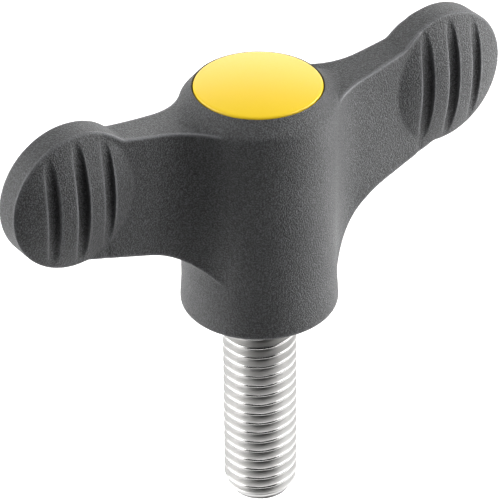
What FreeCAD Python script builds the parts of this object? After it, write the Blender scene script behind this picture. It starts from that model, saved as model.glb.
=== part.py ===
import FreeCAD, Part
import math
import os

from FreeCAD import Vector

X = Vector(1, 0, 0)
Y = Vector(0, 1, 0)
Z = Vector(0, 0, 1)

# Stud: standard coarse thread size, shown plain at its major diameter.
STUD_D = 8.0
STUD_LENGTH = 25.0
STUD_BEVEL_W = 0.75
STUD_BEVEL_H = 1.3

# Anchor: the moulded-in end of the stud, two hexagons with a round groove between them.
ANCHOR_FLATS = 10.0
ANCHOR_NECK_D = 7.0
ANCHOR_NECK_H = 1.5
ANCHOR_HEX_H = 4.5
ANCHOR_GROOVE_D = 8.0
ANCHOR_GROOVE_H = 1.5
ANCHOR_GAP = 0.0

# Hub: a flared base, a straight barrel and a conical shoulder up to the cap.
HUB_R = 8.3
HUB_FLARE = 0.2
HUB_FLARE_LOW_Z = 0.7
HUB_FLARE_TOP_Z = 3.0
HUB_BASE_BEVEL = 0.35
HUB_SHOULDER_Z = 24.5
HUB_SHOULDER_W = 1.4
HUB_SHOULDER_ROUND = 1.4
HUB_TOP_Z = 26.15
HUB_LIP_W = 0.1

# Cap: a shallow dome on a slotted spigot that snaps into the hub.
CAP_EDGE_H = 1.2
CAP_EDGE_BEVEL = 0.2
CAP_PROUD = 0.15
CAP_RISE = 0.5
CAP_SIDE_GAP = 0.1
SPIGOT_INSET = 2.2
SPIGOT_WALL = 0.9
SPIGOT_H = 4.0
SPIGOT_SLOT_W = 1.4
SPIGOT_SIDE_GAP = 0.05
SOCKET_SPARE = 0.6

# Thumb discs: a round rim with a crowned pad on each face.
SPAN = 60.0
DISC_R = 7.7
DISC_Z = 20.6
DISC_T = 2.6
CROWN_R = 7.4
CROWN_H = 1.5

# Webs: each leaves the hub to one side of its axis and is sized WEB_END_GAP short of its disc's centre.
WING_OFFSET = 1.4
WEB_END_GAP = 5.3
WEB_HALF_T = 1.6
WEB_TAPER = 6.8
WEB_SPREAD_R = 8.0
WEB_END_DROP = 2.37
WEB_TOP_RISE = 1.83
WEB_UNDER_DROP = 1.05
WEB_UNDER_SLOPE = 15.6
SKIRT_SHARE = 0.436
SKIRT_INSET = 0.4
SKIRT_FLOOR_Z = 1.5
NOTCH_TOP_R = 1.2
NOTCH_UNDER_R = 1.8
WING_BEVEL = 0.2

# Finger grooves: straight flat-bottomed cuts across each crown.
GROOVE_COUNT = 3
GROOVE_PITCH = 3.3
GROOVE_OFFSET = 0.25
GROOVE_FLOOR_W = 0.85
GROOVE_DRAFT = 9.5
GROOVE_LAND = 0.05

# Cutters and blanks pass this far beyond the faces that they cross.
OVERCUT = 1.0

LIP_R = HUB_R - HUB_SHOULDER_W
SEAT_R = LIP_R - HUB_LIP_W
CAP_R = SEAT_R - CAP_SIDE_GAP
RIM_Z = HUB_TOP_Z + CAP_PROUD
SEAT_Z = RIM_Z - CAP_EDGE_H
SPIGOT_R = CAP_R - SPIGOT_INSET
DISC_X = SPAN / 2 - DISC_R
HALF_RIM = DISC_T / 2
WEB_X = DISC_X - WEB_END_GAP
WEB_TOP_Z = DISC_Z + DISC_R - WEB_END_DROP - WEB_TOP_RISE
WEB_UNDER_Z = DISC_Z - DISC_R - WEB_UNDER_DROP
SWEEP_R = (WEB_X ** 2 + WEB_TOP_RISE ** 2) / (2 * WEB_TOP_RISE)


def on_front(x, z):
    """Return the point (x, z) of the plane across Y."""
    return Vector(x, 0, z)


def on_plan(x, y):
    """Return the point (x, y) of the plane across Z."""
    return Vector(x, y, 0)


def unit(dx, dy):
    """Return the 2-D direction (dx, dy) scaled to length one."""
    size = math.hypot(dx, dy)
    return dx / size, dy / size


def towards(start, end, distance):
    """Return the point at the given distance from start on the line to end."""
    dx, dy = unit(end[0] - start[0], end[1] - start[1])
    return start[0] + distance * dx, start[1] + distance * dy


def on_line_at(foot, along, centre, distance, sign):
    """Return the point of a line that lies the given distance from centre.

    The line runs through foot in the direction along; sign picks the first (-1) or second (+1) point.
    """
    dx, dy = foot[0] - centre[0], foot[1] - centre[1]
    b = dx * along[0] + dy * along[1]
    step = -b + sign * math.sqrt(b ** 2 - dx ** 2 - dy ** 2 + distance ** 2)
    return foot[0] + step * along[0], foot[1] + step * along[1]


def meet_above(centre_a, radius_a, centre_b, radius_b):
    """Return where two circles meet, on the hub's side of the line between their centres."""
    dx, dy = centre_b[0] - centre_a[0], centre_b[1] - centre_a[1]
    gap = math.hypot(dx, dy)
    along = (gap ** 2 + radius_a ** 2 - radius_b ** 2) / (2 * gap)
    across = math.sqrt(radius_a ** 2 - along ** 2)
    return (centre_a[0] + (along * dx + across * dy) / gap,
            centre_a[1] + (along * dy - across * dx) / gap)


def arc_about(place, centre, start, end, longer=False):
    """Return the shorter (or longer) arc about centre from start to end."""
    radius = math.hypot(start[0] - centre[0], start[1] - centre[1])
    chord_middle = ((start[0] + end[0]) / 2, (start[1] + end[1]) / 2)
    middle = towards(centre, chord_middle, -radius if longer else radius)
    return Part.Arc(place(*start), place(*middle), place(*end)).toShape()


def line(place, start, end):
    """Return the straight edge between two 2-D points."""
    return Part.makeLine(place(*start), place(*end))


def closed_face(edges):
    """Return the flat face inside a loop of edges given in any order."""
    return Part.Face(Part.Wire(Part.__sortEdges__(edges)))


def revolve(edges):
    """Return the solid swept about Z by a closed loop of edges in the plane across Y."""
    return closed_face(edges).revolve(Vector(0, 0, 0), Z, 360)


def revolve_corners(corners):
    """Return the solid swept about Z by a closed profile of (radius, z) corners."""
    ends = corners[1:] + corners[:1]
    return revolve([line(on_front, a, b) for a, b in zip(corners, ends)])


def hexagon(across_flats, z, height):
    """Return a hexagonal prism standing on height z."""
    radius = across_flats / math.sqrt(3)
    corners = []
    for k in range(7):
        angle = math.radians(60 * k)
        corners.append(Vector(radius * math.cos(angle), radius * math.sin(angle), z))
    return Part.Face(Part.makePolygon(corners)).extrude(Z * height)


def anchor(gap):
    """Return the moulded-in end of the stud, enlarged by gap all round for its cavity."""
    lower_z = ANCHOR_NECK_H
    groove_z = lower_z + ANCHOR_HEX_H
    upper_z = groove_z + ANCHOR_GROOVE_H
    neck = Part.makeCylinder(ANCHOR_NECK_D / 2 + gap, ANCHOR_NECK_H)
    lower = hexagon(ANCHOR_FLATS + 2 * gap, lower_z, ANCHOR_HEX_H)
    groove = Part.makeCylinder(ANCHOR_GROOVE_D / 2 + gap, ANCHOR_GROOVE_H, Vector(0, 0, groove_z))
    upper = hexagon(ANCHOR_FLATS + 2 * gap, upper_z, ANCHOR_HEX_H)
    return neck.fuse([lower, groove, upper]).removeSplitter()


def stud():
    """Return the stud: exposed length below z = 0, its lead-in bevel and the anchor above."""
    radius = STUD_D / 2
    shank = revolve_corners([
        (0, 0),
        (radius, 0),
        (radius, STUD_BEVEL_H - STUD_LENGTH),
        (radius - STUD_BEVEL_W, -STUD_LENGTH),
        (0, -STUD_LENGTH),
    ])
    return shank.fuse(anchor(0.0)).removeSplitter()


def cap():
    """Return the cover cap: a domed disc with a bevelled edge and a slotted spigot under it."""
    cone_top = RIM_Z - CAP_EDGE_BEVEL + CAP_R
    disc = revolve_corners([
        (0, SEAT_Z),
        (CAP_R, SEAT_Z),
        (CAP_R, RIM_Z - CAP_EDGE_BEVEL),
        (0, cone_top),
    ])
    dome_r = (CAP_R ** 2 + CAP_RISE ** 2) / (2 * CAP_RISE)
    dome = Part.makeSphere(dome_r, Vector(0, 0, RIM_Z + CAP_RISE - dome_r))
    disc = disc.common(dome)
    spigot_z = SEAT_Z - SPIGOT_H
    lead = SPIGOT_WALL / 2
    spigot = revolve_corners([
        (SPIGOT_R - SPIGOT_WALL, SEAT_Z),
        (SPIGOT_R, SEAT_Z),
        (SPIGOT_R, spigot_z + lead),
        (SPIGOT_R - lead, spigot_z),
        (SPIGOT_R - SPIGOT_WALL, spigot_z),
    ])
    corner = Vector(-SPIGOT_R, -SPIGOT_SLOT_W / 2, spigot_z)
    slot = Part.makeBox(2 * SPIGOT_R, SPIGOT_SLOT_W, SPIGOT_H, corner)
    cross = slot.copy()
    cross.rotate(Vector(0, 0, 0), Z, 90)
    return disc.fuse(spigot.cut([slot, cross])).removeSplitter()


def cap_seat():
    """Return the space cut into the hub for the cap and its spigot."""
    depth = SPIGOT_H + SOCKET_SPARE
    recess = Part.makeCylinder(SEAT_R, HUB_TOP_Z + OVERCUT - SEAT_Z, Vector(0, 0, SEAT_Z))
    socket = Part.makeCylinder(SPIGOT_R + SPIGOT_SIDE_GAP, depth, Vector(0, 0, SEAT_Z - depth))
    return recess.fuse(socket)


def hub():
    """Return the hub without its cavities, with its shoulder rounded into the barrel."""
    base_r = HUB_R + HUB_FLARE
    corner = (HUB_R, HUB_SHOULDER_Z)
    lip = (LIP_R, HUB_TOP_Z)
    run = unit(lip[0] - corner[0], lip[1] - corner[1])

    # The round touches the barrel and the cone at the same distance from their corner.
    half_turn = math.acos(run[1]) / 2
    setback = HUB_SHOULDER_ROUND * math.tan(half_turn)
    low = (HUB_R, HUB_SHOULDER_Z - setback)
    high = towards(corner, lip, setback)
    centre = (HUB_R - HUB_SHOULDER_ROUND, low[1])
    corners = [
        high,
        lip,
        (0, HUB_TOP_Z),
        (0, 0),
        (base_r - HUB_BASE_BEVEL, 0),
        (base_r, HUB_BASE_BEVEL),
        (base_r, HUB_FLARE_LOW_Z),
        (HUB_R, HUB_FLARE_TOP_Z),
        low,
    ]
    edges = [line(on_front, a, b) for a, b in zip(corners, corners[1:])]
    edges.append(arc_about(on_front, centre, low, high))
    return revolve(edges)


def skirt_arc(tangent_point, down, end):
    """Return the centre of the arc that leaves the underside at tangent_point and reaches end."""
    dx, dz = end[0] - tangent_point[0], end[1] - tangent_point[1]
    radius = (dx ** 2 + dz ** 2) / (2 * (dx * down[0] + dz * down[1]))
    return tangent_point[0] + radius * down[0], tangent_point[1] + radius * down[1]


def front_outline():
    """Return the outline of the right wing and half the hub's width, seen along Y."""
    slope = math.radians(WEB_UNDER_SLOPE)
    along = (math.cos(slope), math.sin(slope))
    down = (math.sin(slope), -math.cos(slope))
    disc = (DISC_X, DISC_Z)

    # The skirt is tangent to the straight underside and ends inside the hub, behind the web's outer side.
    skirt_x = HUB_R + SKIRT_SHARE * (DISC_X - HUB_R)
    skirt_start = (skirt_x, WEB_UNDER_Z + math.tan(slope) * (skirt_x - WEB_X))
    hub_end = web_side(-1)[1]
    skirt_end = (hub_end[0] - SKIRT_INSET, SKIRT_FLOOR_Z)
    skirt_centre = skirt_arc(skirt_start, down, skirt_end)

    # Each notch is round and touches both the web's edge and the disc.
    foot = (WEB_X + NOTCH_UNDER_R * down[0], WEB_UNDER_Z + NOTCH_UNDER_R * down[1])
    low_centre = on_line_at(foot, along, disc, DISC_R + NOTCH_UNDER_R, -1)
    low_start = (low_centre[0] - NOTCH_UNDER_R * down[0], low_centre[1] - NOTCH_UNDER_R * down[1])
    low_end = towards(disc, low_centre, DISC_R)
    sweep = (0.0, WEB_TOP_Z + SWEEP_R)
    high_centre = meet_above(sweep, SWEEP_R - NOTCH_TOP_R, disc, DISC_R + NOTCH_TOP_R)
    high_start = towards(disc, high_centre, DISC_R)
    high_end = towards(sweep, high_centre, SWEEP_R)

    return [
        line(on_front, (0, SKIRT_FLOOR_Z), skirt_end),
        arc_about(on_front, skirt_centre, skirt_end, skirt_start),
        line(on_front, skirt_start, low_start),
        arc_about(on_front, low_centre, low_start, low_end),
        arc_about(on_front, disc, low_end, high_start, longer=True),
        arc_about(on_front, high_centre, high_start, high_end),
        arc_about(on_front, sweep, high_end, (0, WEB_TOP_Z)),
    ]


def web_side(face):
    """Return one side of the right wing seen along Z, with its ends on the hub and at the tip.

    The side is worked out on the positive-y half and mirrored for face = -1.
    """
    shift = -face * WING_OFFSET
    taper = math.radians(WEB_TAPER)
    out = (math.sin(taper), math.cos(taper))
    along = (math.cos(taper), -math.sin(taper))

    # The spread touches the web's face and the hub's circle.
    foot = (WEB_X + WEB_SPREAD_R * out[0], WEB_HALF_T + shift + WEB_SPREAD_R * out[1])
    centre = on_line_at(foot, along, (0, 0), HUB_R + WEB_SPREAD_R, 1)
    hub_end = towards((0, 0), centre, HUB_R)
    web_start = (centre[0] - WEB_SPREAD_R * out[0], centre[1] - WEB_SPREAD_R * out[1])

    # The web thins until it is as thick as the disc's rim.
    rim_x = WEB_X + (WEB_HALF_T - HALF_RIM) / math.tan(taper)
    rim_y = HALF_RIM + shift
    corners = [centre, hub_end, web_start, (rim_x, rim_y), (SPAN / 2 + OVERCUT, rim_y)]
    centre, hub_end, web_start, rim, tip = [(x, face * y) for x, y in corners]
    edges = [
        arc_about(on_plan, centre, hub_end, web_start),
        line(on_plan, web_start, rim),
        line(on_plan, rim, tip),
    ]
    return edges, hub_end, tip


def plan_outline():
    """Return the wings' outline seen along Z: the same wing twice, half a turn apart."""
    inner, inner_end, inner_tip = web_side(1)
    outer, outer_end, outer_tip = web_side(-1)
    next_inner_end = (-inner_end[0], -inner_end[1])
    half = inner + outer + [
        line(on_plan, inner_tip, outer_tip),
        arc_about(on_plan, (0, 0), outer_end, next_inner_end),
    ]
    return half + [turned(edge) for edge in half]


def turned(shape):
    """Return a copy of the shape turned half a turn about Z."""
    copy = shape.copy()
    copy.rotate(Vector(0, 0, 0), Z, 180)
    return copy


def wings():
    """Return both wings as one solid that crosses the hub, with bevelled outer edges."""
    right = front_outline()
    left = [edge.mirror(Vector(0, 0, 0), X) for edge in right]
    half_depth = HUB_R + OVERCUT
    front = closed_face(right + left)
    front.translate(Y * -half_depth)
    plan = closed_face(plan_outline())
    top_z = DISC_Z + DISC_R + OVERCUT
    body = front.extrude(Y * 2 * half_depth).common(plan.extrude(Z * top_z)).removeSplitter()
    edges = [edge for edge in body.Edges if is_wing_edge(edge)]
    return body.makeChamfer(WING_BEVEL, edges)


def is_wing_edge(edge):
    """Tell whether an edge runs along the wings' outline, above the floor inside the hub."""
    first, last = edge.valueAt(edge.FirstParameter), edge.valueAt(edge.LastParameter)
    chord = last - first
    straight = abs(edge.Length - chord.Length) < 1e-6
    if straight and (chord.cross(Y).Length < 1e-6 or chord.cross(Z).Length < 1e-6):
        return False
    return max(first.z, last.z) > SKIRT_FLOOR_Z + 1e-3


def crown(face):
    """Return the convex pad on one face of the right disc; face is +1 or -1."""
    radius = (CROWN_R ** 2 + CROWN_H ** 2) / (2 * CROWN_H)
    foot = Vector(DISC_X, -WING_OFFSET, DISC_Z)
    ball = Part.makeSphere(radius, foot + Y * face * (HALF_RIM + CROWN_H - radius))
    return ball.common(Part.makeCylinder(CROWN_R, HALF_RIM + CROWN_H, foot, Y * face))


def groove(face, step):
    """Return the cutter for one finger groove of the right disc, step away from the middle one."""
    x = DISC_X + GROOVE_OFFSET + step
    floor_y = HALF_RIM + GROOVE_LAND
    top_y = HALF_RIM + CROWN_H + OVERCUT
    half_floor = GROOVE_FLOOR_W / 2
    half_top = half_floor + (top_y - floor_y) * math.tan(math.radians(GROOVE_DRAFT))
    section = [
        (x - half_floor, floor_y),
        (x + half_floor, floor_y),
        (x + half_top, top_y),
        (x - half_top, top_y),
    ]
    low_z = DISC_Z - DISC_R - OVERCUT
    points = [Vector(a, face * b - WING_OFFSET, low_z) for a, b in section]
    return Part.Face(Part.makePolygon(points + points[:1])).extrude(Z * 2 * (DISC_R + OVERCUT))


def grip():
    """Return the moulded grip: hub, wings, crowned discs, grooves and cavities."""
    pads = [crown(face) for face in (1, -1)]
    first_step = -GROOVE_PITCH * (GROOVE_COUNT - 1) / 2
    steps = [first_step + k * GROOVE_PITCH for k in range(GROOVE_COUNT)]
    cutters = [groove(face, step) for face in (1, -1) for step in steps]
    body = wings().fuse([hub()] + pads + [turned(pad) for pad in pads])
    body = body.cut(cutters + [turned(cutter) for cutter in cutters])
    return body.cut([cap_seat(), anchor(ANCHOR_GAP)]).removeSplitter()


def main():
    """Build every piece and write one STEP file for each."""
    os.makedirs("parts", exist_ok=True)
    pieces = {"wing_grip": grip(), "threaded_stud": stud(), "cover_cap": cap()}
    for name, shape in pieces.items():
        if not shape.isValid() or len(shape.Solids) != 1:
            raise RuntimeError(name + " is not one valid solid")
        shape.Solids[0].exportStep("parts/" + name + ".step")


main()
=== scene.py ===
"""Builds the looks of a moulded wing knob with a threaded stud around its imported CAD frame."""

import logging
import math
from dataclasses import dataclass, field
from enum import Enum
from typing import Any

import bmesh
import bpy
import numpy as np
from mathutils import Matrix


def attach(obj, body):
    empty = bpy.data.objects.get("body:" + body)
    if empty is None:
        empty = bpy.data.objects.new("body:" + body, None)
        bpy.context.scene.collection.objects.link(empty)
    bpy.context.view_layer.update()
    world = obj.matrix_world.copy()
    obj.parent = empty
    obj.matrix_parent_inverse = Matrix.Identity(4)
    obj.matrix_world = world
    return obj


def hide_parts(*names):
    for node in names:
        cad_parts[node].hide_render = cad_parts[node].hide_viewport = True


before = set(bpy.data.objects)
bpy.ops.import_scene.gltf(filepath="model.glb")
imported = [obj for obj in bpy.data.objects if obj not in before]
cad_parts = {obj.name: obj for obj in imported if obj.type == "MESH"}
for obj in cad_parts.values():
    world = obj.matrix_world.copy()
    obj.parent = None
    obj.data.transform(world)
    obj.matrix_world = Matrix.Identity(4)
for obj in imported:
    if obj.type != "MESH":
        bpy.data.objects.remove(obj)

import openvdb
from mathutils import Matrix, Vector

MM = 0.001
ROOT_BODY = "root"
# The longer side of the 498 x 500 pixel frame, which the camera's sensor width spans.
IMAGE_LONG_SIDE = 500
# How far apart two points may lie, in metres, and still be one.
SAME_PLACE = 1e-7
# Below this length, in metres, an edge or a face's height is a cut's sliver.
SLIVER_EDGE = 1e-6
# The angle in degrees from which an edge reads as a crease.
CREASE_ANGLE = 30.0
# A blur is cut off at this many of its sigmas.
BLUR_SIGMAS = 3
# Nearly all values of a noise texture lie between these two.
NOISE_LOW, NOISE_HIGH = 0.3, 0.7
WHITE = "#FFFFFF"

LOG = logging.getLogger("wing_knob")

Point = tuple[float, float]


class Face(Enum):
    """The two faces of a wing: the one nearer the hub's axis and the one further from it."""

    INNER = 1
    OUTER = -1


# Colour and node helpers


def linear(hex_colour: str) -> tuple[float, float, float, float]:
    """Turn an sRGB hex colour into linear RGBA.

    Args:
        hex_colour: Six hex digits after a hash, such as "#3A3B3D".

    Returns:
        The linear red, green and blue values, and an alpha of one.
    """
    values = []
    for start in (1, 3, 5):
        value = int(hex_colour[start:start + 2], 16) / 255
        values.append(value / 12.92 if value <= 0.04045 else ((value + 0.055) / 1.055) ** 2.4)
    return values[0], values[1], values[2], 1.0


def per_metre(size_mm: float) -> float:
    """Return the texture scale at which one pattern cell measures size_mm."""
    return 1.0 / (size_mm * MM)


def add_node(
    tree: bpy.types.NodeTree,
    kind: str,
    inputs: dict[Any, Any] | None = None,
    **settings: Any,
) -> bpy.types.Node:
    """Add a node with its settings, input values and links.

    Args:
        tree: The node tree that gets the node.
        kind: The node's type name.
        inputs: For each input, by name or number, a value or the output socket that feeds it.
        **settings: Properties of the node itself.

    Returns:
        The new node.
    """
    node = tree.nodes.new(kind)
    for name, value in settings.items():
        setattr(node, name, value)
    for key, value in (inputs or {}).items():
        if isinstance(value, bpy.types.NodeSocket):
            tree.links.new(value, node.inputs[key])
        else:
            node.inputs[key].default_value = value
    return node


def new_material(name: str) -> tuple[bpy.types.Material, bpy.types.NodeTree]:
    """Return an empty node material and its tree."""
    material = bpy.data.materials.new(name)
    material.use_nodes = True
    material.node_tree.nodes.clear()
    return material, material.node_tree


# Mesh helpers


def new_object(name: str, mesh: bpy.types.Mesh) -> bpy.types.Object:
    """Link a mesh into the scene as an object of the same name."""
    mesh.name = name
    piece = bpy.data.objects.new(name, mesh)
    bpy.context.scene.collection.objects.link(piece)
    return piece


def mesh_from_bmesh(bm: bmesh.types.BMesh) -> bpy.types.Mesh:
    """Turn a bmesh into a smooth-shaded mesh and free it."""
    bmesh.ops.recalc_face_normals(bm, faces=bm.faces)
    for face in bm.faces:
        face.smooth = True
    mesh = bpy.data.meshes.new("piece")
    bm.to_mesh(mesh)
    bm.free()
    return mesh


def applied(piece: bpy.types.Object) -> bpy.types.Mesh:
    """Return the piece's mesh with its modifiers applied."""
    bpy.context.view_layer.update()
    graph = bpy.context.evaluated_depsgraph_get()
    return bpy.data.meshes.new_from_object(piece.evaluated_get(graph))


def triangle_count(mesh: bpy.types.Mesh) -> int:
    """Return how many triangles the mesh's faces come to."""
    return sum(len(polygon.vertices) - 2 for polygon in mesh.polygons)


def revolved(profile: list[Point], segments: int) -> bpy.types.Mesh:
    """Sweep a closed profile about Z.

    Args:
        profile: (radius, height) corners in mm; a radius of zero closes on the axis.
        segments: How many steps make the full turn.

    Returns:
        A closed mesh in metres.
    """
    bm = bmesh.new()
    rings = []
    for radius, height in profile:
        if radius == 0:
            rings.append([bm.verts.new((0, 0, height * MM))])
            continue
        ring = []
        for k in range(segments):
            angle = 2 * math.pi * k / segments
            place = (radius * math.cos(angle), radius * math.sin(angle), height)
            ring.append(bm.verts.new(Vector(place) * MM))
        rings.append(ring)
    for first, second in zip(rings, rings[1:] + rings[:1]):
        for k in range(segments):
            corners = [first[k % len(first)], first[(k + 1) % len(first)],
                       second[(k + 1) % len(second)], second[k % len(second)]]
            corners = list(dict.fromkeys(corners))
            if len(corners) > 2:
                bm.faces.new(corners)
    return mesh_from_bmesh(bm)


def clean_and_crease(mesh: bpy.types.Mesh, reach_mm: float) -> None:
    """Dissolve slivers, then mark the creases near the axis as sharp.

    Args:
        mesh: The mesh to change.
        reach_mm: How far from the Z axis a crease may lie.
    """
    bm = bmesh.new()
    bm.from_mesh(mesh)
    # A Boolean cut can leave slivers without an area.
    bmesh.ops.dissolve_degenerate(bm, edges=bm.edges, dist=SLIVER_EDGE)
    bm.verts.index_update()
    near = {vert.index for vert in bm.verts if vert.co.xy.length < reach_mm * MM}
    for edge in bm.edges:
        if edge.verts[0].index in near and edge.verts[1].index in near:
            edge.smooth = edge.calc_face_angle(0.0) < math.radians(CREASE_ANGLE)
    bm.to_mesh(mesh)
    bm.free()


# Outlines and distance fields, all in millimetres and negative inside


def unit(dx: float, dy: float) -> Point:
    """Return the direction (dx, dy) scaled to length one."""
    size = math.hypot(dx, dy)
    return dx / size, dy / size


def towards(start: Point, end: Point, distance: float) -> Point:
    """Return the point at the given distance from start on the line to end."""
    dx, dy = unit(end[0] - start[0], end[1] - start[1])
    return start[0] + distance * dx, start[1] + distance * dy


def on_line_at(foot: Point, along: Point, centre: Point, distance: float, sign: int) -> Point:
    """Return the point of a line that lies a given distance from a centre.

    Args:
        foot: A point of the line.
        along: The line's direction.
        centre: The centre that the distance is measured from.
        distance: The distance.
        sign: -1 for the first such point along the line, 1 for the second.

    Returns:
        The point.
    """
    dx, dy = foot[0] - centre[0], foot[1] - centre[1]
    b = dx * along[0] + dy * along[1]
    step = -b + sign * math.sqrt(b ** 2 - dx ** 2 - dy ** 2 + distance ** 2)
    return foot[0] + step * along[0], foot[1] + step * along[1]


def meet_above(centre_a: Point, radius_a: float, centre_b: Point, radius_b: float) -> Point:
    """Return where two circles meet, on the hub's side of the line between their centres."""
    dx, dy = centre_b[0] - centre_a[0], centre_b[1] - centre_a[1]
    gap = math.hypot(dx, dy)
    along = (gap ** 2 + radius_a ** 2 - radius_b ** 2) / (2 * gap)
    across = math.sqrt(radius_a ** 2 - along ** 2)
    return (centre_a[0] + (along * dx + across * dy) / gap,
            centre_a[1] + (along * dy - across * dx) / gap)


@dataclass
class Outline:
    """A closed 2-D outline made of straight runs and arcs."""

    points: list[Point] = field(default_factory=list)
    chord_error: float = 0.0002
    least_run: float = 1e-9

    def to(self, point: Point) -> None:
        """Run straight to a point."""
        self.points.append(point)

    def arc(self, centre: Point, start: Point, end: Point, longer: bool = False) -> None:
        """Add an arc about a centre.

        Args:
            centre: The arc's centre.
            start: Where it starts.
            end: Where it ends.
            longer: Whether it goes the long way round.
        """
        radius = math.dist(centre, start)
        first = math.atan2(start[1] - centre[1], start[0] - centre[0])
        last = math.atan2(end[1] - centre[1], end[0] - centre[0])
        turn = (last - first + math.pi) % (2 * math.pi) - math.pi
        if longer:
            turn -= math.copysign(2 * math.pi, turn)
        steps = max(2, math.ceil(abs(turn) / math.sqrt(8 * self.chord_error / radius)))
        for k in range(steps + 1):
            angle = first + turn * k / steps
            self.points.append((centre[0] + radius * math.cos(angle),
                                centre[1] + radius * math.sin(angle)))

    def distance(self, across: np.ndarray, up: np.ndarray) -> np.ndarray:
        """Return the signed distance to the outline at every point of a grid.

        Args:
            across: First coordinates, as one column.
            up: Second coordinates, as one row.

        Returns:
            Distances, negative inside, with one row for each first coordinate.
        """
        nearest = np.full(np.broadcast(across, up).shape, np.inf)
        inside = np.zeros(nearest.shape, bool)
        for (ax, ay), (bx, by) in zip(self.points, self.points[1:] + self.points[:1]):
            dx, dy = bx - ax, by - ay
            length_squared = dx * dx + dy * dy
            if length_squared < self.least_run ** 2:
                continue
            part = np.clip(((across - ax) * dx + (up - ay) * dy) / length_squared, 0, 1)
            to_run = (across - ax - part * dx) ** 2 + (up - ay - part * dy) ** 2
            nearest = np.minimum(nearest, to_run)
            if ay != by:
                crosses = (up >= min(ay, by)) & (up < max(ay, by))
                inside ^= crosses & (across < ax + (up - ay) * dx / dy)
        nearest = np.sqrt(nearest)
        return np.where(inside, -nearest, nearest)


def soft_min(a: np.ndarray, b: np.ndarray, width: float) -> np.ndarray:
    """Join two fields with a small fillet of the given width."""
    near = np.maximum(width - np.abs(a - b), 0) / width
    return np.minimum(a, b) - near * near * width / 4


def soft_max(a: np.ndarray, b: np.ndarray, width: float) -> np.ndarray:
    """Intersect two fields with a small round of the given width."""
    return -soft_min(-a, -b, width)


def round_intersection(a: np.ndarray, b: np.ndarray, radius: float) -> np.ndarray:
    """Intersect two fields that meet at right angles, with a round edge of the given radius."""
    u, v = a + radius, b + radius
    outside = np.sqrt(np.maximum(u, 0) ** 2 + np.maximum(v, 0) ** 2)
    return np.minimum(np.maximum(u, v), 0) + outside - radius


def blurred(values: np.ndarray, sigma_cells: float) -> np.ndarray:
    """Return a field blurred by a Gaussian along each axis."""
    reach = math.ceil(BLUR_SIGMAS * sigma_cells)
    taps = np.exp(-0.5 * (np.arange(-reach, reach + 1) / sigma_cells) ** 2)
    taps /= taps.sum()
    for axis in range(3):
        padding = [(0, 0)] * 3
        padding[axis] = (reach, reach)
        padded = np.pad(values, padding, mode="edge")
        count = values.shape[axis]
        total = np.zeros_like(values)
        for k, tap in enumerate(taps):
            total += np.float32(tap) * np.take(padded, range(k, k + count), axis=axis)
        values = total
    return values


@dataclass
class Lattice:
    """A regular grid of points that a distance field is sampled on.

    The field is worked out for x > 0 and repeated half a turn about Z for x < 0.
    """

    reach_x: float
    reach_y: float
    low_z: float
    high_z: float
    cell: float
    newton_steps: int = 3

    def __post_init__(self) -> None:
        """Lay out the grid's coordinates along each axis."""
        count_x = math.ceil(self.reach_x / self.cell)
        count_y = math.ceil(self.reach_y / self.cell)
        self.x = (np.arange(count_x) + 0.5) * self.cell
        self.y = (np.arange(-count_y, count_y) + 0.5) * self.cell
        self.z = np.arange(self.low_z, self.high_z, self.cell)

    def mesh(self, half: np.ndarray) -> bpy.types.Mesh:
        """Return the surface where the field is zero.

        Args:
            half: The field on the x > 0 half, indexed [x, y, z].

        Returns:
            A closed triangle mesh in metres.
        """
        values = np.concatenate([half[::-1, ::-1, :], half], axis=0).astype(np.float32)
        grid = openvdb.FloatGrid(background=1.0)
        grid.copyFromArray(values)
        points, quads = grid.convertToQuads(isovalue=0.0)
        points = points.astype(np.float64)
        for _ in range(self.newton_steps):
            points -= self.newton_step(values, points)
        start = np.array([-self.x[-1], self.y[0], self.z[0]])
        places = (points * self.cell + start) * MM
        mesh = bpy.data.meshes.new("surface")
        mesh.from_pydata(places, [], quads[:, ::-1])
        mesh.validate()
        mesh.shade_smooth()
        return mesh

    def newton_step(self, values: np.ndarray, points: np.ndarray) -> np.ndarray:
        """Return the step, in cells, that takes each point back from the zero surface.

        Args:
            values: The whole field.
            points: Points in cell units.

        Returns:
            One step for each point.
        """
        base = np.clip(points.astype(int), 0, np.array(values.shape) - 2)
        part = points - base
        value = np.zeros(len(points))
        slope = np.zeros_like(points)
        for corner in np.ndindex(2, 2, 2):
            sample = values[tuple((base + corner).T)].astype(np.float64)
            weights = np.where(np.array(corner) == 1, part, 1 - part)
            signs = np.where(np.array(corner) == 1, 1.0, -1.0)
            value += sample * weights.prod(axis=1)
            for axis in range(3):
                others = [a for a in range(3) if a != axis]
                slope[:, axis] += sample * signs[axis] * weights[:, others].prod(axis=1)
        steepness, longest = 1e-6, 0.5
        size = np.maximum((slope ** 2).sum(axis=1), steepness)
        step = slope * (value / size)[:, None]
        return np.clip(step, -longest, longest)


# Finishes


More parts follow.
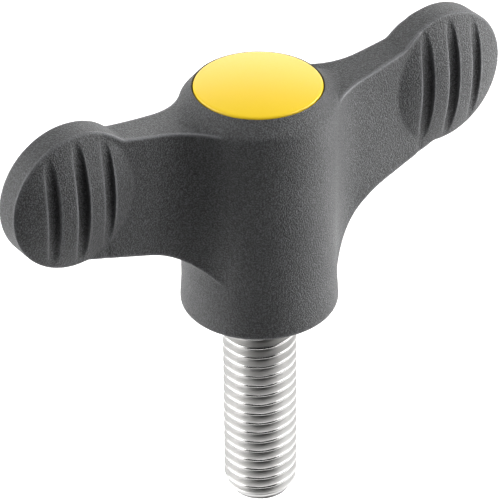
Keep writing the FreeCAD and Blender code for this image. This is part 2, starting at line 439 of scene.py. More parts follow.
@dataclass(frozen=True)
class GlassFilledPolyamide:
    """Black polyamide with glass fibre, moulded in a spark-eroded mould.

    The eye sees a matt charcoal with a fine even grain and a soft sheen at grazing angles.
    """

    colour: str = "#0B0C0D"
    pale_fleck: str = "#4C4D4F"
    # The grain's noise turns from colour to pale_fleck between these two values.
    fleck_low: float = 0.42
    fleck_high: float = 0.68
    roughness: float = 0.52
    ior: float = 1.53
    # The real grain is 0.05 to 0.1 mm, too fine to show, so it is drawn at 0.16 mm.
    grain_mm: float = 0.16
    grain_depth_mm: float = 0.14
    specular: float = 0.5
    # Convex outer edges get a painted highlight: a paler colour, lower roughness and no grain bump.
    # It is absent inside lip_r and full from the next radius out.
    edge_highlight_colour: str = "#727376"
    edge_roughness: float = 0.3
    edge_mm: float = 0.4
    edge_starts: float = 0.95
    edge_full: float = 0.65
    lip_r: float = 7.2
    highlight_full_r: float = 8.2
    # Cloudy differences in sheen, as the melt flowed.
    flow_mm: float = 6.0
    sleeker: float = 0.03
    duller: float = 0.04

    def material(self) -> bpy.types.Material:
        """Return the procedural material."""
        material, tree = new_material("polyamide_spark_eroded")
        place = add_node(tree, "ShaderNodeTexCoord").outputs["Object"]
        grain = add_node(tree, "ShaderNodeTexNoise", {
            "Vector": place, "Scale": per_metre(self.grain_mm), "Detail": 2.0, "Roughness": 0.6})
        flow = add_node(tree, "ShaderNodeTexNoise", {
            "Vector": place, "Scale": per_metre(self.flow_mm), "Detail": 3.0})
        fleck = add_node(tree, "ShaderNodeMapRange", {
            "Value": grain.outputs["Fac"],
            "From Min": self.fleck_low, "From Max": self.fleck_high})
        skin = add_node(tree, "ShaderNodeMix", {
            "Factor": fleck.outputs["Result"],
            "A": linear(self.colour), "B": linear(self.pale_fleck),
        }, data_type="RGBA")
        shine = add_node(tree, "ShaderNodeMapRange", {
            "Value": flow.outputs["Fac"], "From Min": NOISE_LOW, "From Max": NOISE_HIGH,
            "To Min": self.roughness - self.sleeker, "To Max": self.roughness + self.duller})
        # Ambient occlusion inside the skin is low where the surface turns away, at outer edges, and
        # masks the painted edge highlight.
        depth = add_node(tree, "ShaderNodeAmbientOcclusion", {
            "Distance": self.edge_mm * MM}, inside=True, only_local=True, samples=8)
        highlight_edge_mask = add_node(tree, "ShaderNodeMapRange", {
            "Value": depth.outputs["AO"],
            "From Min": self.edge_starts, "From Max": self.edge_full})
        around = add_node(tree, "ShaderNodeVectorMath", {
            0: place, 1: (1.0, 1.0, 0.0)}, operation="MULTIPLY")
        radius = add_node(tree, "ShaderNodeVectorMath", {0: around.outputs[0]}, operation="LENGTH")
        outside = add_node(tree, "ShaderNodeMapRange", {
            "Value": radius.outputs["Value"],
            "From Min": self.lip_r * MM, "From Max": self.highlight_full_r * MM})
        edge = add_node(tree, "ShaderNodeMapRange", {
            "Value": highlight_edge_mask.outputs["Result"], "To Max": outside.outputs["Result"]})
        # Painted highlight: convex edges are mixed towards a paler colour and a lower roughness.
        colour = add_node(tree, "ShaderNodeMix", {
            "Factor": edge.outputs["Result"], "A": skin.outputs[2], "B": linear(self.edge_highlight_colour),
        }, data_type="RGBA")
        rough = add_node(tree, "ShaderNodeMix", {
            "Factor": edge.outputs["Result"], "A": shine.outputs["Result"],
            "B": self.edge_roughness})
        relief = add_node(tree, "ShaderNodeMath", {
            0: 1.0, 1: edge.outputs["Result"]}, operation="SUBTRACT")
        bump = add_node(tree, "ShaderNodeBump", {
            "Height": grain.outputs["Fac"], "Strength": relief.outputs[0],
            "Distance": self.grain_depth_mm * MM})
        shader = add_node(tree, "ShaderNodeBsdfPrincipled", {
            "Base Color": colour.outputs[2], "Roughness": rough.outputs[0],
            "IOR": self.ior, "Specular IOR Level": self.specular, "Normal": bump.outputs["Normal"]})
        add_node(tree, "ShaderNodeOutputMaterial", {"Surface": shader.outputs["BSDF"]})
        return material


@dataclass(frozen=True)
class SatinYellowPlastic:
    """Yellow acetal cap, moulded in a finely blasted mould.

    The eye sees a warm full yellow that pales where it mirrors the room softly.
    """

    colour: str = "#ECC81A"
    deep_colour: str = "#EAC416"
    specular: float = 0.4
    roughness: float = 0.34
    roughness_spread: float = 0.04
    ior: float = 1.48
    grain_mm: float = 0.35
    grain_depth_mm: float = 0.003
    cloud_mm: float = 5.0

    def material(self) -> bpy.types.Material:
        """Return the procedural material."""
        material, tree = new_material("acetal_satin_yellow")
        place = add_node(tree, "ShaderNodeTexCoord").outputs["Object"]
        grain = add_node(tree, "ShaderNodeTexNoise", {
            "Vector": place, "Scale": per_metre(self.grain_mm), "Detail": 2.0})
        cloud = add_node(tree, "ShaderNodeTexNoise", {
            "Vector": place, "Scale": per_metre(self.cloud_mm), "Detail": 2.0})
        colour = add_node(tree, "ShaderNodeMix", {
            "Factor": cloud.outputs["Fac"], "A": linear(self.colour), "B": linear(self.deep_colour),
        }, data_type="RGBA")
        shine = add_node(tree, "ShaderNodeMapRange", {
            "Value": grain.outputs["Fac"], "From Min": NOISE_LOW, "From Max": NOISE_HIGH,
            "To Min": self.roughness - self.roughness_spread,
            "To Max": self.roughness + self.roughness_spread})
        bump = add_node(tree, "ShaderNodeBump", {
            "Height": grain.outputs["Fac"], "Strength": 1.0, "Distance": self.grain_depth_mm * MM})
        shader = add_node(tree, "ShaderNodeBsdfPrincipled", {
            "Base Color": colour.outputs[2], "Roughness": shine.outputs["Result"], "IOR": self.ior,
            "Specular IOR Level": self.specular, "Normal": bump.outputs["Normal"]})
        add_node(tree, "ShaderNodeOutputMaterial", {"Surface": shader.outputs["BSDF"]})
        return material


@dataclass(frozen=True)
class BrightStainless:
    """Stainless steel with a rolled thread, bright from the rolling dies.

    The eye sees a silvery metal with thin bright crests, softer flanks and dimmer roots.
    """

    colour: str = "#C2C1C0"
    worn_colour: str = "#BBBAB8"
    root_shade_colour: str = "#949392"
    # The thread's roots are darkened with painted shade up to root_r, fading out by the next
    # radius.
    root_r: float = 3.3
    shade_free_r: float = 3.48
    # The flanks up to flank_r are satin, and the crests from crest_r on are burnished.
    roughness: float = 0.5
    crest_roughness: float = 0.22
    flank_r: float = 3.8
    crest_r: float = 3.95
    # The dies leave fine lines that run round the stud, so the pattern is stretched across it.
    die_line_mm: float = 0.09
    die_line_depth_mm: float = 0.0015
    die_line_stretch: float = 0.08
    patch_mm: float = 1.2

    def material(self) -> bpy.types.Material:
        """Return the procedural material."""
        material, tree = new_material("stainless_rolled")
        place = add_node(tree, "ShaderNodeTexCoord").outputs["Object"]
        stretch = add_node(tree, "ShaderNodeMapping", {
            "Vector": place, "Scale": (self.die_line_stretch, self.die_line_stretch, 1.0)})
        lines = add_node(tree, "ShaderNodeTexNoise", {
            "Vector": stretch.outputs["Vector"], "Scale": per_metre(self.die_line_mm),
            "Detail": 1.0})
        patch = add_node(tree, "ShaderNodeTexNoise", {
            "Vector": place, "Scale": per_metre(self.patch_mm), "Detail": 3.0})
        colour = add_node(tree, "ShaderNodeMix", {
            "Factor": patch.outputs["Fac"], "A": linear(self.colour), "B": linear(self.worn_colour),
        }, data_type="RGBA")
        around = add_node(tree, "ShaderNodeVectorMath", {
            0: place, 1: (1.0, 1.0, 0.0)}, operation="MULTIPLY")
        radius = add_node(tree, "ShaderNodeVectorMath", {0: around.outputs[0]}, operation="LENGTH")
        root_shade_fade = add_node(tree, "ShaderNodeMapRange", {
            "Value": radius.outputs["Value"],
            "From Min": self.root_r * MM, "From Max": self.shade_free_r * MM})
        # Painted shade: the colour darkens towards the thread's roots.
        colour = add_node(tree, "ShaderNodeMix", {
            "Factor": root_shade_fade.outputs["Result"], "A": linear(self.root_shade_colour), "B": colour.outputs[2],
        }, data_type="RGBA")
        shine = add_node(tree, "ShaderNodeMapRange", {
            "Value": radius.outputs["Value"],
            "From Min": self.flank_r * MM, "From Max": self.crest_r * MM,
            "To Min": self.roughness, "To Max": self.crest_roughness})
        bump = add_node(tree, "ShaderNodeBump", {
            "Height": lines.outputs["Fac"], "Strength": 1.0,
            "Distance": self.die_line_depth_mm * MM})
        shader = add_node(tree, "ShaderNodeBsdfPrincipled", {
            "Base Color": colour.outputs[2], "Metallic": 1.0, "Roughness": shine.outputs["Result"],
            "Normal": bump.outputs["Normal"]})
        add_node(tree, "ShaderNodeOutputMaterial", {"Surface": shader.outputs["BSDF"]})
        return material


# Sub-assemblies, with their sizes in millimetres


@dataclass
class CoverCap:
    """The domed cap that snaps into the hub's recess."""

    radius: float = 6.7
    seat_z: float = 25.1
    rim_z: float = 26.3
    rise: float = 0.5
    edge_round: float = 0.25
    spigot_r: float = 4.5
    spigot_wall: float = 0.9
    spigot_h: float = 4.0
    segments: int = 192
    edge_steps: int = 8
    dome_steps: int = 24
    finish: SatinYellowPlastic = SatinYellowPlastic()

    def profile(self) -> list[Point]:
        """Return the cap's closed profile from its axis underneath to its crown."""
        dome_r = (self.radius ** 2 + self.rise ** 2) / (2 * self.rise)
        dome_z = self.rim_z + self.rise - dome_r
        spigot_z = self.seat_z - self.spigot_h
        inner_r = self.spigot_r - self.spigot_wall
        lead = self.spigot_wall / 2
        points = [
            (0.0, self.seat_z),
            (inner_r, self.seat_z),
            (inner_r, spigot_z),
            (self.spigot_r - lead, spigot_z),
            (self.spigot_r, spigot_z + lead),
            (self.spigot_r, self.seat_z),
            (self.radius, self.seat_z),
        ]

        # The edge round touches the cylinder and the dome from inside.
        centre_r = self.radius - self.edge_round
        centre_z = dome_z + math.sqrt((dome_r - self.edge_round) ** 2 - centre_r ** 2)
        top_angle = math.atan2(centre_z - dome_z, centre_r)
        for k in range(self.edge_steps + 1):
            angle = top_angle * k / self.edge_steps
            points.append((centre_r + self.edge_round * math.cos(angle),
                           centre_z + self.edge_round * math.sin(angle)))
        for k in range(1, self.dome_steps + 1):
            angle = top_angle + (math.pi / 2 - top_angle) * k / self.dome_steps
            radius = dome_r * math.cos(angle) if k < self.dome_steps else 0.0
            points.append((radius, dome_z + dome_r * math.sin(angle)))
        return points

    def build(self) -> bpy.types.Object:
        """Build the cap and dress it.

        Returns:
            The cap, standing for its CAD node.
        """
        piece = new_object("cap_dome", revolved(self.profile(), self.segments))
        clean_and_crease(piece.data, self.radius - self.edge_round)
        piece.data.materials.append(self.finish.material())
        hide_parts("cover_cap")
        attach(piece, ROOT_BODY)
        return piece


@dataclass
class ThreadedStud:
    """The stud with its rolled coarse thread."""

    major_r: float = 3.99
    pitch: float = 1.25
    depth: float = 0.73
    length: float = 25.0
    bevel_w: float = 0.75
    bevel_h: float = 1.3
    run_out: float = 0.8
    neck_r: float = 3.5
    # Half widths of the crest's and the root's flats, as shares of the pitch, and their easing.
    crest_half: float = 0.07
    root_half: float = 0.1
    ease: float = 0.35
    segments: int = 128
    rows_per_pitch: int = 16
    finish: BrightStainless = BrightStainless()

    def radius_at(self, part: np.ndarray) -> np.ndarray:
        """Return the thread's radius at a part of its pitch.

        Args:
            part: Where in the pitch, from 0 to 1, with the crest at 0 and the root at a half.

        Returns:
            The radius in mm.
        """
        away = np.abs(part - np.round(part))
        slope = np.clip((away - self.crest_half) / (0.5 - self.crest_half - self.root_half), 0, 1)
        eased = slope - self.ease * np.sin(2 * math.pi * slope) / (2 * math.pi)
        return self.major_r - self.depth * eased

    def limit_at(self, z: np.ndarray) -> np.ndarray:
        """Return the largest radius that the tip's bevel leaves at a height."""
        from_tip = np.maximum(z + self.length, 0)
        return self.major_r - self.bevel_w * np.clip(1 - from_tip / self.bevel_h, 0, 1)

    def surface(self) -> bpy.types.Mesh:
        """Return the threaded surface, its rows following the helix, closed at both ends."""
        per_pitch = self.rows_per_pitch
        first = -math.ceil(self.length / self.pitch) - 1
        rows = np.arange(first * per_pitch, 2 * per_pitch) / per_pitch
        turn = np.arange(self.segments) / self.segments
        z = (rows[:, None] - 1 + turn[None, :]) * self.pitch
        z = np.clip(z, -self.length, 0.0)
        radius = self.radius_at(z / self.pitch - turn[None, :])
        fade = np.clip(1 + z / self.run_out, 0, 1)
        radius = radius + (self.neck_r - radius) * fade ** 2 * (3 - 2 * fade)
        radius = np.minimum(radius, self.limit_at(z))
        angle = 2 * math.pi * turn[None, :]
        places = np.stack([radius * np.cos(angle), radius * np.sin(angle), z], axis=2) * MM
        bm = bmesh.new()
        ring_verts = [[bm.verts.new(place) for place in ring] for ring in places]
        # One turn further round is one pitch higher, so the seam joins rows a pitch apart.
        for j in range(len(ring_verts) - 1):
            for k in range(self.segments):
                following = k + 1
                jump = 0
                if following == self.segments:
                    following, jump = 0, per_pitch
                if j + 1 + jump >= len(ring_verts):
                    continue
                bm.faces.new([ring_verts[j][k], ring_verts[j + jump][following],
                              ring_verts[j + 1 + jump][following], ring_verts[j + 1][k]])
        bmesh.ops.remove_doubles(bm, verts=bm.verts, dist=SAME_PLACE)
        bmesh.ops.dissolve_degenerate(bm, edges=bm.edges, dist=SAME_PLACE)
        loose = [vert for vert in bm.verts if not vert.link_faces]
        bmesh.ops.delete(bm, geom=loose, context="VERTS")
        rims = [edge for edge in bm.edges if edge.is_boundary]
        bmesh.ops.holes_fill(bm, edges=rims, sides=0)
        return mesh_from_bmesh(bm)

    def build(self) -> bpy.types.Object:
        """Build the stud and dress it.

        Returns:
            The stud, standing for its CAD node.
        """
        piece = new_object("stud_thread", self.surface())
        # The many-sided faces are the flat ends.
        for polygon in piece.data.polygons:
            if len(polygon.vertices) > 4:
                polygon.use_smooth = False
        piece.data.materials.append(self.finish.material())
        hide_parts("threaded_stud")
        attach(piece, ROOT_BODY)
        return piece


@dataclass
class WingGrip:
    """The moulded grip: hub, two offset webs and two crowned thumb discs with grooves."""

    # The hub and the cap's recess in it.
    hub_r: float = 8.3
    flare: float = 0.15
    flare_low_z: float = 0.7
    flare_top_z: float = 3.0
    base_round: float = 0.35
    shoulder_z: float = 24.5
    shoulder_w: float = 1.4
    shoulder_round: float = 1.4
    top_z: float = 26.15
    lip_w: float = 0.1
    lip_bevel: float = 0.05
    seat_z: float = 25.1
    socket_r: float = 4.55
    socket_z: float = 20.5
    recess_segments: int = 256
    # The thumb discs and their crowned faces.
    span: float = 59.7
    disc_r: float = 7.57
    disc_z: float = 20.6
    half_rim: float = 1.38
    crown_r: float = 7.55
    crown_h: float = 1.65
    crown_valley: float = 0.06
    # The webs, each beside the hub's axis, and the skirt that runs down from them.
    wing_offset: float = 1.4
    web_end_gap: float = 5.3
    web_half_t: float = 1.75
    web_taper: float = 5.0
    web_spread_r: float = 8.0
    web_top_z: float = 24.1
    web_top_rise: float = 1.83
    under_z: float = 11.85
    under_slope: float = 15.6
    skirt_share: float = 0.436
    skirt_inset: float = 0.4
    skirt_floor_z: float = 1.5
    notch_top_r: float = 1.2
    notch_under_r: float = 1.8
    # Roundings: along the edges, and where the webs leave the hub.
    web_round: float = 0.15
    rim_round: float = 0.12
    valley_blur: float = 0.9
    valley_reach: float = 13.5
    valley_fade: float = 1.5
    # The grooves. Their floors rise by groove_rise towards the disc's middle.
    groove_count: int = 3
    groove_pitch: float = 3.3
    groove_offset: float = 0.25
    groove_floor_w: float = 1.15
    groove_draft: float = 6.5
    groove_land: float = 0.1
    groove_rise: float = 0.75
    groove_edge: float = 0.1
    groove_fillet: float = 0.5
    # How far the wings' plan runs on past their ends, where the front outline cuts it.
    run_past: float = 2.0
    cell: float = 0.11
    triangle_limit: int = 190000
    finish: GlassFilledPolyamide = GlassFilledPolyamide()

    def __post_init__(self) -> None:
        """Work out the places that follow from the sizes."""
        self.lip_r = self.hub_r - self.shoulder_w
        self.disc_x = self.span / 2 - self.disc_r
        self.web_x = self.disc_x - self.web_end_gap

    def hub_outline(self) -> Outline:
        """Return the hub's half profile, its cone carried on above the lip."""
        corner = (self.hub_r, self.shoulder_z)
        lip = (self.lip_r, self.top_z)
        run = unit(lip[0] - corner[0], lip[1] - corner[1])
        setback = self.shoulder_round * math.tan(math.acos(run[1]) / 2)
        low = (self.hub_r, self.shoulder_z - setback)
        high = towards(corner, lip, setback)
        base_r = self.hub_r + self.flare
        peak = towards(corner, lip, math.dist(corner, lip) + self.shoulder_w / 2)
        outline = Outline()
        outline.to((-base_r, 0.0))
        outline.arc((base_r - self.base_round, self.base_round),
                    (base_r - self.base_round, 0.0), (base_r, self.base_round))
        outline.to((base_r, self.flare_low_z))
        outline.to((self.hub_r, self.flare_top_z))
        outline.arc((self.hub_r - self.shoulder_round, low[1]), low, high)
        outline.to(peak)
        outline.to((-base_r, peak[1]))
        return outline

    def front_outline(self) -> Outline:
        """Return both wings' outline seen along Y."""
        slope = math.radians(self.under_slope)
        along = (math.cos(slope), math.sin(slope))
        down = (math.sin(slope), -math.cos(slope))
        disc = (self.disc_x, self.disc_z)
        skirt_x = self.hub_r + self.skirt_share * (self.disc_x - self.hub_r)
        skirt_start = (skirt_x, self.under_z + math.tan(slope) * (skirt_x - self.web_x))
        skirt_end = (self.web_side(Face.OUTER).points[0][0] - self.skirt_inset, self.skirt_floor_z)
        dx, dz = skirt_end[0] - skirt_start[0], skirt_end[1] - skirt_start[1]
        skirt_r = (dx ** 2 + dz ** 2) / (2 * (dx * down[0] + dz * down[1]))
        skirt_centre = (skirt_start[0] + skirt_r * down[0], skirt_start[1] + skirt_r * down[1])

        foot = (self.web_x + self.notch_under_r * down[0],
                self.under_z + self.notch_under_r * down[1])
        low_centre = on_line_at(foot, along, disc, self.disc_r + self.notch_under_r, -1)
        low_start = (low_centre[0] - self.notch_under_r * down[0],
                     low_centre[1] - self.notch_under_r * down[1])
        low_end = towards(disc, low_centre, self.disc_r)
        sweep_r = (self.web_x ** 2 + self.web_top_rise ** 2) / (2 * self.web_top_rise)
        sweep = (0.0, self.web_top_z + sweep_r)
        high_centre = meet_above(
            sweep, sweep_r - self.notch_top_r, disc, self.disc_r + self.notch_top_r)
        high_start = towards(disc, high_centre, self.disc_r)
        high_end = towards(sweep, high_centre, sweep_r)

        outline = Outline()
        outline.arc(skirt_centre, skirt_end, skirt_start)
        outline.arc(low_centre, low_start, low_end)
        outline.arc(disc, low_end, high_start, longer=True)
        outline.arc(high_centre, high_start, high_end)
        outline.arc(sweep, high_end, (0.0, self.web_top_z))
        outline.points += [(-x, z) for x, z in reversed(outline.points)]
        return outline

    def web_side(self, face: Face) -> Outline:
        """Return one side of the right wing seen along Z, from the hub to the tip.

        Args:
            face: Which side.

        Returns:
            An open outline.
        """
        shift = -face.value * self.wing_offset
        taper = math.radians(self.web_taper)
        out = (math.sin(taper), math.cos(taper))
        along = (math.cos(taper), -math.sin(taper))
        spread = self.web_spread_r
        foot = (self.web_x + spread * out[0], self.web_half_t + shift + spread * out[1])
        centre = on_line_at(foot, along, (0.0, 0.0), self.hub_r + spread, 1)
        side = Outline()
        side.arc(centre, towards((0.0, 0.0), centre, self.hub_r),
                 (centre[0] - spread * out[0], centre[1] - spread * out[1]))
        rim_x = self.web_x + (self.web_half_t - self.half_rim) / math.tan(taper)
        side.to((rim_x, self.half_rim + shift))
        side.to((self.span / 2 + self.run_past, self.half_rim + shift))
        side.points = [(x, face.value * y) for x, y in side.points]
        return side

    def plan_outline(self) -> Outline:
        """Return the wings' outline seen along Z: the same wing twice, half a turn apart."""
        inner, outer = self.web_side(Face.INNER), self.web_side(Face.OUTER)
        next_inner_end = (-inner.points[0][0], -inner.points[0][1])
        half = Outline(inner.points + outer.points[::-1])
        half.arc((0.0, 0.0), outer.points[0], next_inner_end)
        turned = [(-x, -y) for x, y in half.points]
        return Outline(half.points + turned)

    def distances(self, grid: Lattice) -> np.ndarray:
        """Return the grip's distance field on the x > 0 half of a grid.

        Args:
            grid: The grid.

        Returns:
            Distances in mm, indexed [x, y, z].
        """
        x, y, z = grid.x[:, None, None], grid.y[None, :, None], grid.z[None, None, :]
        plan = self.plan_outline().distance(grid.x[:, None], grid.y[None, :])[:, :, None]
        front = self.front_outline().distance(grid.x[:, None], grid.z[None, :])[:, None, :]
        along = np.clip((x - self.web_x) / self.web_end_gap, 0, 1)
        edge_round = self.web_round + (self.rim_round - self.web_round) * along
        beside = np.abs(y + self.wing_offset)
        from_disc = (x - self.disc_x) ** 2 + (z - self.disc_z) ** 2
        ball_r = (self.crown_r ** 2 + self.crown_h ** 2) / (2 * self.crown_h)
        crown = np.sqrt(from_disc + (beside + ball_r - self.half_rim - self.crown_h) ** 2) - ball_r
        wing = round_intersection(soft_min(plan, crown, self.crown_valley), front, edge_round)

        radius = np.hypot(grid.x[:, None], grid.y[None, :])
        steps = np.arange(0, radius.max() + grid.cell, grid.cell / 2)
        table = self.hub_outline().distance(steps[:, None], grid.z[None, :])
        place = radius / (grid.cell / 2)
        low = place.astype(int)
        part = (place - low)[:, :, None]
        hub = table[low] * (1 - part) + table[low + 1] * part
        body = np.minimum(hub, wing).astype(np.float32)

        # A blur only lowers the field in hollow corners, so it fills the hub's valleys softly.
        fill = np.minimum(self.blurred_whole(body, grid), body)
        weight = np.clip((self.valley_reach - radius) / self.valley_fade, 0, 1)[:, :, None]
        body = body + weight * (fill - body)

        draft = math.radians(self.groove_draft)
        hollow = self.groove_rise * np.maximum(1 - from_disc / self.crown_r ** 2, 0)
        floor_y = self.half_rim + self.groove_land + hollow
        for k in range(self.groove_count):
            step = (k - (self.groove_count - 1) / 2) * self.groove_pitch
            aside = np.abs(x - self.disc_x - self.groove_offset - step)
            above = beside - floor_y
            wall = (aside - self.groove_floor_w / 2) * math.cos(draft) - above * math.sin(draft)
            cut = soft_max(wall, floor_y - beside, self.groove_fillet)
            body = soft_max(body, -cut, self.groove_edge)
        return body

    def blurred_whole(self, body: np.ndarray, grid: Lattice) -> np.ndarray:
        """Return the x > 0 half of the field after a blur of the whole of it."""
        margin = math.ceil(BLUR_SIGMAS * self.valley_blur / grid.cell) + 1
        whole = np.concatenate([body[:margin][::-1, ::-1, :], body], axis=0)
        return blurred(whole, self.valley_blur / grid.cell)[margin:]

    def recess_cutter(self) -> bpy.types.Object:
        """Return the turned cutter for the cap's seat, its socket and the lip's inner bevel."""
        seat_r = self.lip_r - self.lip_w
        lip_z = self.top_z - self.lip_bevel
        far_z = self.top_z + self.shoulder_w
        profile = [
            (0.0, self.socket_z),
            (self.socket_r, self.socket_z),
            (self.socket_r, self.seat_z),
            (seat_r, self.seat_z),
            (seat_r, lip_z),
            (seat_r + far_z - lip_z, far_z),
            (0.0, far_z),
        ]
        return new_object("recess_cutter", revolved(profile, self.recess_segments))

    def build(self) -> bpy.types.Object:
        """Build the grip and dress it.

        Returns:
            The grip, standing for its CAD node.
        """
        pad = 3 * self.cell
        # Room for the blur, which would else pull the surface out to the grid's sides.
        blur_pad = BLUR_SIGMAS * self.valley_blur
        base_r = self.hub_r + self.flare
        top_z = self.disc_z + self.disc_r
        grid = Lattice(self.span / 2 + pad, base_r + blur_pad, -blur_pad, top_z + pad, self.cell)
        piece = new_object("grip_body", grid.mesh(self.distances(grid)))
        thin = piece.modifiers.new("thin", "DECIMATE")
        thin.ratio = min(1.0, self.triangle_limit / triangle_count(piece.data))
        cutter = self.recess_cutter()
        cut = piece.modifiers.new("recess", "BOOLEAN")
        cut.operation = "DIFFERENCE"
        cut.solver = "EXACT"
        cut.object = cutter
        mesh = applied(piece)
        piece.modifiers.clear()
        piece.data = mesh
        bpy.data.objects.remove(cutter)
        clean_and_crease(mesh, self.lip_r + self.lip_w)
        piece.data.materials.clear()
        piece.data.materials.append(self.finish.material())
        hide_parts("wing_grip")
        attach(piece, ROOT_BODY)
        return piece


# Studio


@dataclass
class Viewpoint:
    """The camera, aimed as the photograph was taken; distances in mm, angles in degrees."""

    distance: float = 334.86
    elevation: float = 33.68
    azimuth: float = -35.65
    roll: float = -0.47
    focal_px: float = 3129.63
    right_shift: float = -1.11
    up_shift: float = 4.89
    sensor_mm: float = 36.0
    near_m: float = 0.01
    far_m: float = 10.0

    def build(self) -> bpy.types.Object:
        """Place the camera and make it the scene's own.

        Returns:
            The camera.
        """
        e, a, r = (math.radians(v) for v in (self.elevation, self.azimuth, self.roll))
        back = Vector((math.sin(a) * math.cos(e), -math.cos(a) * math.cos(e), math.sin(e)))
        level_right = Vector((math.cos(a), math.sin(a), 0.0))
        level_up = back.cross(level_right)
        right = math.cos(r) * level_right + math.sin(r) * level_up
        up = back.cross(right)
        place = (back * self.distance + right * self.right_shift + up * self.up_shift) * MM
        data = bpy.data.cameras.new("viewpoint")
        data.sensor_width = self.sensor_mm
        data.lens = self.focal_px * self.sensor_mm / IMAGE_LONG_SIDE
        data.clip_start = self.near_m
        data.clip_end = self.far_m
        camera = bpy.data.objects.new("viewpoint", data)
        turn = Matrix((right, up, back)).transposed().to_4x4()
        camera.matrix_world = Matrix.Translation(place) @ turn
        bpy.context.scene.collection.objects.link(camera)
        bpy.context.scene.camera = camera
        return camera


@dataclass(frozen=True)
class Softbox:
    """A square lamp panel that looks at the part; power in watts."""

    name: str
    place_mm: tuple[float, float, float]
    size_mm: float
    power: float
    # True for a lamp whose light leaves out the stud.
    carded: bool = False
    aim_mm: tuple[float, float, float] = (0.0, 0.0, 10.0)

    def build(self) -> bpy.types.Object:
        """Return the lamp, aimed at the part's middle."""
        data = bpy.data.lights.new(self.name, "AREA")
        data.shape = "SQUARE"
        data.size = self.size_mm * MM
        data.energy = self.power
        lamp = bpy.data.objects.new(self.name, data)
        place = Vector(self.place_mm) * MM
        aim = Vector(self.aim_mm) * MM - place
        turn = aim.to_track_quat("-Z", "Y").to_matrix().to_4x4()
        lamp.matrix_world = Matrix.Translation(place) @ turn
        bpy.context.scene.collection.objects.link(lamp)
        return lamp


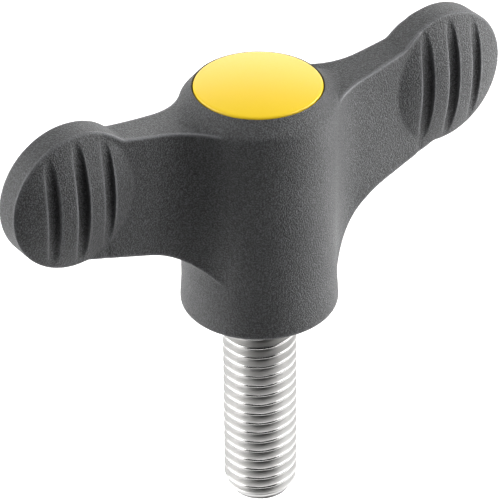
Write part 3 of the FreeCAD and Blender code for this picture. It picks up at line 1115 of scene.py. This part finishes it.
@dataclass
class Studio:
    """A white tent with a dark flag on the camera's side."""

    floor_z: float = -85.0
    floor_half: float = 900.0
    floor_colour: str = "#F4F4F4"
    floor_glow: float = 0.5
    floor_roughness: float = 0.9
    # As a light the room dims from wall_light to roof_light between two heights on a unit ball.
    wall_light: float = 0.6
    roof_light: float = 0.1
    wall_top: float = 0.35
    roof_edge: float = 0.85
    # In mirrors it dims to gap_light round one direction, between two cosines from it.
    gap_direction: tuple[float, float, float] = (0.359, 0.5, 0.788)
    gap_light: float = 0.35
    gap_edge: float = 0.8
    gap_core: float = 0.97
    flag_azimuth: float = -35.65
    flag_half_angle: float = 48.0
    flag_steps: int = 24
    # The flag's section lies on the floor, then stands up and leans in over the camera's side.
    flag_section: tuple[Point, ...] = (
        (55.0, -84.0), (150.0, -84.0), (225.0, -82.0), (258.0, -50.0),
        (262.0, 0.0), (255.0, 80.0), (236.0, 160.0), (205.0, 215.0))
    flag_colour: str = "#161616"
    lamps: tuple[Softbox, ...] = (
        Softbox("back_box", (190.0, 260.0, 100.0), 280.0, 0.5),
        Softbox("left_box", (-300.0, 170.0, 110.0), 380.0, 1.85),
        Softbox("right_box", (290.0, -130.0, 60.0), 260.0, 0.3),
        Softbox("right_carded_box", (305.0, -137.0, 63.0), 272.0, 1.15, carded=True),
        Softbox("key_box", (155.0, -177.0, 226.0), 150.0, 0.45),
        Softbox("front_box", (-110.0, -150.0, 270.0), 160.0, 0.12),
    )

    def world(self) -> None:
        """Make a room, white to the camera, with a dim gap in mirrors, and gentle as a light."""
        world = bpy.data.worlds.new("white_room")
        world.use_nodes = True
        tree = world.node_tree
        tree.nodes.clear()
        path = add_node(tree, "ShaderNodeLightPath")
        place = add_node(tree, "ShaderNodeTexCoord").outputs["Generated"]
        height = add_node(tree, "ShaderNodeSeparateXYZ", {"Vector": place}).outputs["Z"]
        room = add_node(tree, "ShaderNodeMapRange", {
            "Value": height, "From Min": self.wall_top, "From Max": self.roof_edge,
            "To Min": self.wall_light, "To Max": self.roof_light}, interpolation_type="SMOOTHSTEP")
        towards_gap = add_node(tree, "ShaderNodeVectorMath", {
            0: place, 1: self.gap_direction}, operation="DOT_PRODUCT")
        gap = add_node(tree, "ShaderNodeMapRange", {
            "Value": towards_gap.outputs["Value"],
            "From Min": self.gap_edge, "From Max": self.gap_core,
            "To Min": 1.0, "To Max": self.gap_light}, interpolation_type="SMOOTHSTEP")
        mirrored = add_node(tree, "ShaderNodeMix", {
            "Factor": path.outputs["Is Glossy Ray"], "A": room.outputs["Result"],
            "B": gap.outputs["Result"]})
        strength = add_node(tree, "ShaderNodeMapRange", {
            "Value": path.outputs["Is Camera Ray"], "To Min": mirrored.outputs[0]})
        sky = add_node(tree, "ShaderNodeBackground", {
            "Color": linear(WHITE), "Strength": strength.outputs["Result"]})
        add_node(tree, "ShaderNodeOutputWorld", {"Surface": sky.outputs["Background"]})
        bpy.context.scene.world = world

    def floor(self) -> bpy.types.Object:
        """Return the pale floor, far enough below the hanging stud to keep its shadow soft."""
        bm = bmesh.new()
        bmesh.ops.create_grid(bm, x_segments=1, y_segments=1, size=self.floor_half * MM)
        piece = new_object("floor", mesh_from_bmesh(bm))
        piece.location.z = self.floor_z * MM
        material, tree = new_material("pale_paper")
        path = add_node(tree, "ShaderNodeLightPath")
        seen = add_node(tree, "ShaderNodeMath", {
            0: path.outputs["Is Camera Ray"],
            1: path.outputs["Is Glossy Ray"]}, operation="MAXIMUM")
        glow = add_node(tree, "ShaderNodeMapRange", {
            "Value": seen.outputs[0], "To Max": self.floor_glow})
        paper = add_node(tree, "ShaderNodeBsdfPrincipled", {
            "Base Color": linear(self.floor_colour), "Roughness": self.floor_roughness,
            "Emission Color": linear(WHITE), "Emission Strength": glow.outputs["Result"]})
        add_node(tree, "ShaderNodeOutputMaterial", {"Surface": paper.outputs["BSDF"]})
        piece.data.materials.append(material)
        return piece

    def flag(self) -> bpy.types.Object:
        """Return the curved dark flag on the camera's side, seen only in reflections."""
        bm = bmesh.new()
        middle = self.flag_azimuth - 90
        previous: list[bmesh.types.BMVert] = []
        for k in range(self.flag_steps + 1):
            aside = self.flag_half_angle * (2 * k / self.flag_steps - 1)
            angle = math.radians(middle + aside)
            column = []
            for reach, height in self.flag_section:
                place = (reach * math.cos(angle), reach * math.sin(angle), height)
                column.append(bm.verts.new(Vector(place) * MM))
            if previous:
                for low_a, high_a, low_b, high_b in zip(previous, previous[1:], column, column[1:]):
                    bm.faces.new([low_a, low_b, high_b, high_a])
            previous = column
        piece = new_object("dark_flag", mesh_from_bmesh(bm))
        piece.visible_camera = False
        piece.visible_shadow = False
        material, tree = new_material("dark_cloth")
        cloth = add_node(tree, "ShaderNodeBsdfDiffuse", {"Color": linear(self.flag_colour)})
        add_node(tree, "ShaderNodeOutputMaterial", {"Surface": cloth.outputs[0]})
        piece.data.materials.append(material)
        return piece

    def card(self, lamp: bpy.types.Object, piece: bpy.types.Object) -> None:
        """Keep a lamp's light off a piece by light linking, as a small card beside it would.

        Args:
            lamp: The lamp.
            piece: The piece that its light leaves out.
        """
        lit = bpy.data.collections.new(lamp.name + "_lit")
        lamp.light_linking.receiver_collection = lit
        lit.objects.link(piece)
        lit.collection_objects[0].light_linking.link_state = "EXCLUDE"

    def build(self, stud: bpy.types.Object) -> None:
        """Build the room, its lamps, the floor and the flag.

        Args:
            stud: The piece that the carded lamps leave out.
        """
        self.world()
        self.floor()
        self.flag()
        for softbox in self.lamps:
            lamp = softbox.build()
            if softbox.carded:
                self.card(lamp, stud)


def main() -> None:
    """Build every piece in order, log their triangle counts, then build the camera and the studio.
    """
    logging.basicConfig(level=logging.INFO, format="%(message)s")
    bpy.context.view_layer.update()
    grip, stud, cap = WingGrip().build(), ThreadedStud().build(), CoverCap().build()
    for piece in (grip, stud, cap):
        LOG.info("%s: %d triangles", piece.name, triangle_count(piece.data))
    Viewpoint().build()
    Studio().build(stud)
    bpy.context.scene.view_settings.view_transform = "Standard"
    bpy.context.view_layer.update()


if __name__ == "__main__":
    main()
